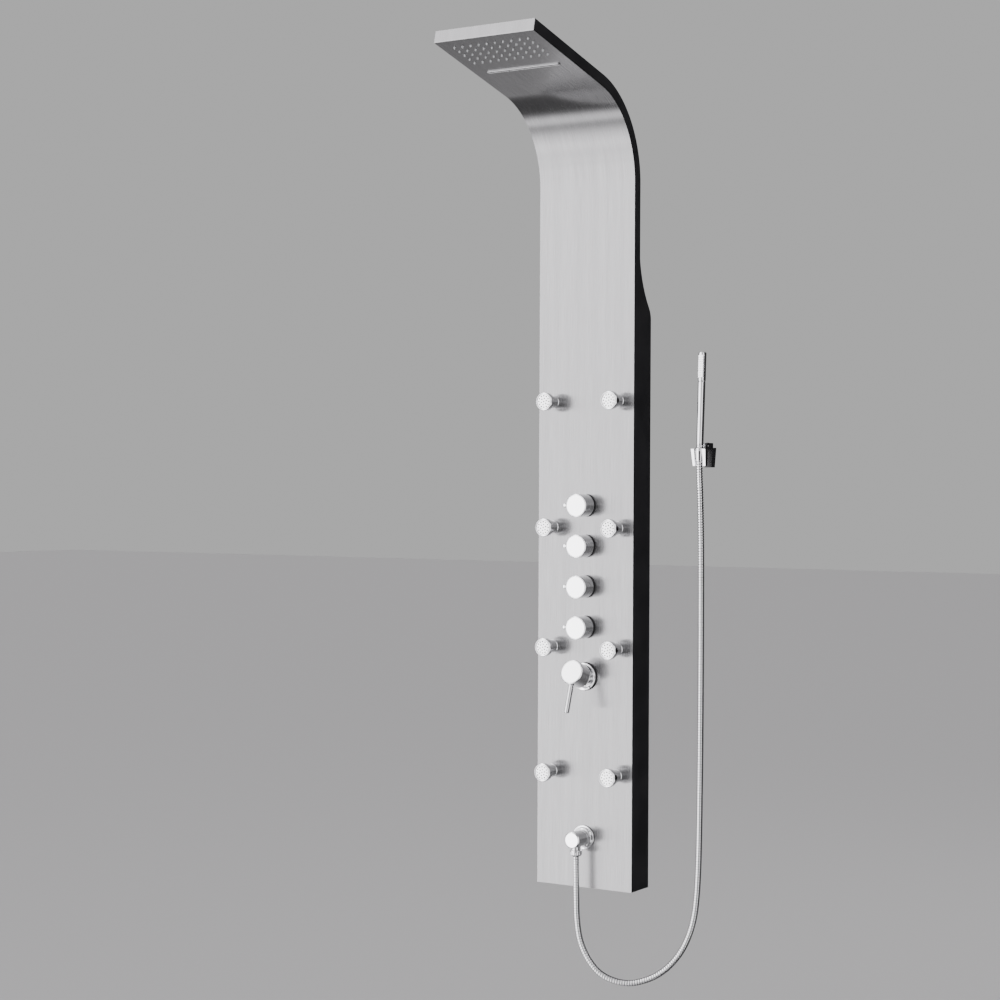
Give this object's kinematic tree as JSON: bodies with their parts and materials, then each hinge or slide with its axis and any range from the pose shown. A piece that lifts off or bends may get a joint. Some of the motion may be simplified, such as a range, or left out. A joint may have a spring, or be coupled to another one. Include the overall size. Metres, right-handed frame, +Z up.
{
  "type": "rainfall shower column",
  "caption": "Wall-hung shower column: a bent brushed steel panel with rain head, body jets, diverter knobs, lever mixer and a hand shower on a hose.",
  "frame": {"origin": "centre of the upper wall bracket's back, on the wall plane", "axes": "+Z up the column, +Y into the wall, +X to the user's right"},
  "size_m": [0.357, 0.4479, 1.79],
  "materials": {
    "brushed_steel": "stainless steel, vertical brushed grain",
    "charcoal_shell": "satin charcoal powder coat",
    "chrome": "polished chrome plate",
    "spray_plate": "moulded spray plate with rubber nozzles",
    "silicone": "soft grey silicone",
    "brass": "cast and machined brass",
    "zinc_steel": "zinc-plated steel sheet",
    "hose_steel": "interlocked stainless steel hose",
    "pipe_plastic": "pale PEX pipe"
  },
  "bodies": {
    "column": {"front_panel": "brushed_steel", "side_plate_left": "charcoal_shell", "side_plate_right": "charcoal_shell", "back_cover": "charcoal_shell", "rear_box": "charcoal_shell", "bottom_cap": "charcoal_shell", "bracket_base": "charcoal_shell", "wall_bracket_upper": "zinc_steel", "wall_bracket_lower": "zinc_steel", "hang_rail_upper": "zinc_steel", "hang_rail_lower": "zinc_steel", "rain_chamber": "zinc_steel", "nozzle_mat": "silicone", "waterfall_spout": "chrome", "jet_collar_left_1": "chrome", "jet_collar_right_1": "chrome", "jet_collar_left_2": "chrome", "jet_collar_right_2": "chrome", "jet_collar_left_3": "chrome", "jet_collar_right_3": "chrome", "jet_collar_left_4": "chrome", "jet_collar_right_4": "chrome", "manifold": "brass", "diverter_valve_1": "brass", "diverter_valve_2": "brass", "diverter_valve_3": "brass", "diverter_valve_4": "brass", "mixer_valve": "brass", "mixer_flange": "chrome", "outlet_rosette": "chrome", "outlet_elbow": "chrome", "outlet_nut": "chrome", "bracket_pin": "chrome", "shower_hose": "hose_steel", "inlet_hose_hot": "hose_steel", "inlet_hose_cold": "hose_steel", "riser_rain": "pipe_plastic", "riser_waterfall": "pipe_plastic", "jet_pipe_left": "pipe_plastic", "jet_pipe_right": "pipe_plastic"},
    "mixer_stem": {"mixer_stem": "chrome"},
    "mixer_handle": {"mixer_handle": "chrome", "mixer_lever": "chrome"},
    "cradle": {"bracket_cradle": "chrome"},
    "hose_end": {"hose_cone": "chrome"},
    "handset": {"wand_handle": "chrome", "wand_head": "chrome", "wand_face": "spray_plate"},
    "knob_1": {"knob_1": "chrome"},
    "knob_2": {"knob_2": "chrome"},
    "knob_3": {"knob_3": "chrome"},
    "knob_4": {"knob_4": "chrome"},
    "jet_left_1": {"jet_head_left_1": "chrome"},
    "jet_right_1": {"jet_head_right_1": "chrome"},
    "jet_left_2": {"jet_head_left_2": "chrome"},
    "jet_right_2": {"jet_head_right_2": "chrome"},
    "jet_left_3": {"jet_head_left_3": "chrome"},
    "jet_right_3": {"jet_head_right_3": "chrome"},
    "jet_left_4": {"jet_head_left_4": "chrome"},
    "jet_right_4": {"jet_head_right_4": "chrome"}
  },
  "joints": [
    {"name": "knob_1_turn", "type": "hinge", "parent": "column", "child": "knob_1", "pos_m": [0, -0.09, -0.2745], "axis": [0, -1, 0], "range_deg": [0, 90]},
    {"name": "knob_2_turn", "type": "hinge", "parent": "column", "child": "knob_2", "pos_m": [0, -0.09, -0.3536], "axis": [0, -1, 0], "range_deg": [0, 90]},
    {"name": "knob_3_turn", "type": "hinge", "parent": "column", "child": "knob_3", "pos_m": [0, -0.09, -0.4327], "axis": [0, -1, 0], "range_deg": [0, 90]},
    {"name": "knob_4_turn", "type": "hinge", "parent": "column", "child": "knob_4", "pos_m": [0, -0.09, -0.5118], "axis": [0, -1, 0], "range_deg": [0, 90]},
    {"name": "mixer_temperature", "type": "hinge", "parent": "column", "child": "mixer_stem", "pos_m": [0, -0.0845, -0.608], "axis": [0, -1, 0], "range_deg": [-45, 45]},
    {"name": "mixer_lift", "type": "hinge", "parent": "mixer_stem", "child": "mixer_handle", "pos_m": [0, -0.0845, -0.608], "axis": [-1, 0, 0], "range_deg": [-18, 6]},
    {"name": "jet_left_1_tilt", "type": "hinge", "parent": "column", "child": "jet_left_1", "pos_m": [-0.0724, -0.0905, -0.072], "axis": [1, 0, 0], "range_deg": [-12, 12]},
    {"name": "jet_right_1_tilt", "type": "hinge", "parent": "column", "child": "jet_right_1", "pos_m": [0.0724, -0.0905, -0.072], "axis": [1, 0, 0], "range_deg": [-12, 12]},
    {"name": "jet_left_2_tilt", "type": "hinge", "parent": "column", "child": "jet_left_2", "pos_m": [-0.0724, -0.0905, -0.318], "axis": [1, 0, 0], "range_deg": [-12, 12]},
    {"name": "jet_right_2_tilt", "type": "hinge", "parent": "column", "child": "jet_right_2", "pos_m": [0.0724, -0.0905, -0.318], "axis": [1, 0, 0], "range_deg": [-12, 12]},
    {"name": "jet_left_3_tilt", "type": "hinge", "parent": "column", "child": "jet_left_3", "pos_m": [-0.0724, -0.0905, -0.552], "axis": [1, 0, 0], "range_deg": [-12, 12]},
    {"name": "jet_right_3_tilt", "type": "hinge", "parent": "column", "child": "jet_right_3", "pos_m": [0.0724, -0.0905, -0.552], "axis": [1, 0, 0], "range_deg": [-12, 12]},
    {"name": "jet_left_4_tilt", "type": "hinge", "parent": "column", "child": "jet_left_4", "pos_m": [-0.0724, -0.0905, -0.797], "axis": [1, 0, 0], "range_deg": [-12, 12]},
    {"name": "jet_right_4_tilt", "type": "hinge", "parent": "column", "child": "jet_right_4", "pos_m": [0.0724, -0.0905, -0.797], "axis": [1, 0, 0], "range_deg": [-12, 12]},
    {"name": "holder_tilt", "type": "hinge", "parent": "column", "child": "cradle", "pos_m": [0.236, -0.026, -0.1595], "axis": [1, 0, 0], "range_deg": [-5, 25], "deforming": ["shower_hose"]},
    {"name": "handset_lift", "type": "slide", "parent": "cradle", "child": "hose_end", "axis": [0, 0.0523, 0.9986], "range_m": [0, 0.045]},
    {"name": "handset_turn", "type": "hinge", "parent": "hose_end", "child": "handset", "pos_m": [0.236, -0.047, -0.1815], "axis": [0, 0.0523, 0.9986], "continuous": true}
  ]
}
